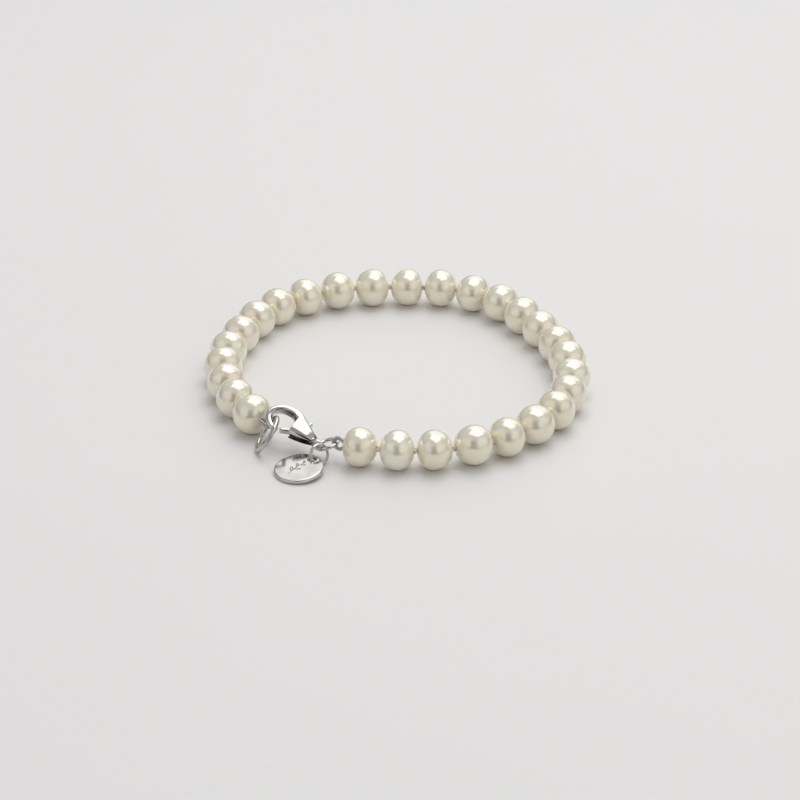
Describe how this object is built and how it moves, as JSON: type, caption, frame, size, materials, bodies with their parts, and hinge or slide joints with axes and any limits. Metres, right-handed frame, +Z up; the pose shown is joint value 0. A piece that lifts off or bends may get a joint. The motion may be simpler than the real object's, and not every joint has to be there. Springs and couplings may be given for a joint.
{
  "type": "pearl bracelet",
  "caption": "Single strand of knotted off-white freshwater pearls, closed by a silver lobster clasp and ring, with a small round tag.",
  "frame": {"origin": "middle of the bracelet's bounding box, on the surface that it lies on", "axes": "+Z up from the surface; -Y towards the clasp and tag side as seen in the picture; +X to the right"},
  "size_m": [0.065, 0.0686, 0.0066],
  "materials": {
    "nacre": "soft nacre lustre over off-white, gloss",
    "silk": "twisted cream silk, matt",
    "silver": "polished silver",
    "coiled_silver": "finely coiled bright silver wire"
  },
  "bodies": {
    "bracelet": {"pearl_01": "nacre", "pearl_02": "nacre", "pearl_03": "nacre", "pearl_04": "nacre", "pearl_05": "nacre", "pearl_06": "nacre", "pearl_07": "nacre", "pearl_08": "nacre", "pearl_09": "nacre", "pearl_10": "nacre", "pearl_11": "nacre", "pearl_12": "nacre", "pearl_13": "nacre", "pearl_14": "nacre", "pearl_15": "nacre", "pearl_16": "nacre", "pearl_17": "nacre", "pearl_18": "nacre", "pearl_19": "nacre", "pearl_20": "nacre", "pearl_21": "nacre", "pearl_22": "nacre", "pearl_23": "nacre", "pearl_24": "nacre", "pearl_25": "nacre", "pearl_26": "nacre", "pearl_27": "nacre", "pearl_28": "nacre", "silk_thread": "silk", "coil_loop_ring_end": "coiled_silver", "coil_loop_tag_end": "coiled_silver", "closing_ring": "silver", "jump_ring": "silver", "tag_ring": "silver", "clasp_body": "silver", "clasp_pin": "silver", "round_tag": "silver"},
    "lever": {"clasp_lever": "silver"}
  },
  "joints": [
    {"name": "clasp_lever_pivot", "type": "hinge", "parent": "bracelet", "child": "lever", "pos_m": [-0.01525, -0.02315, 0.00341], "axis": [-0.0444, 0.5009, -0.8644], "range_deg": [0, 25], "stiffness_Nm_per_rad": 0.0046, "springref_deg": -8.59}
  ]
}
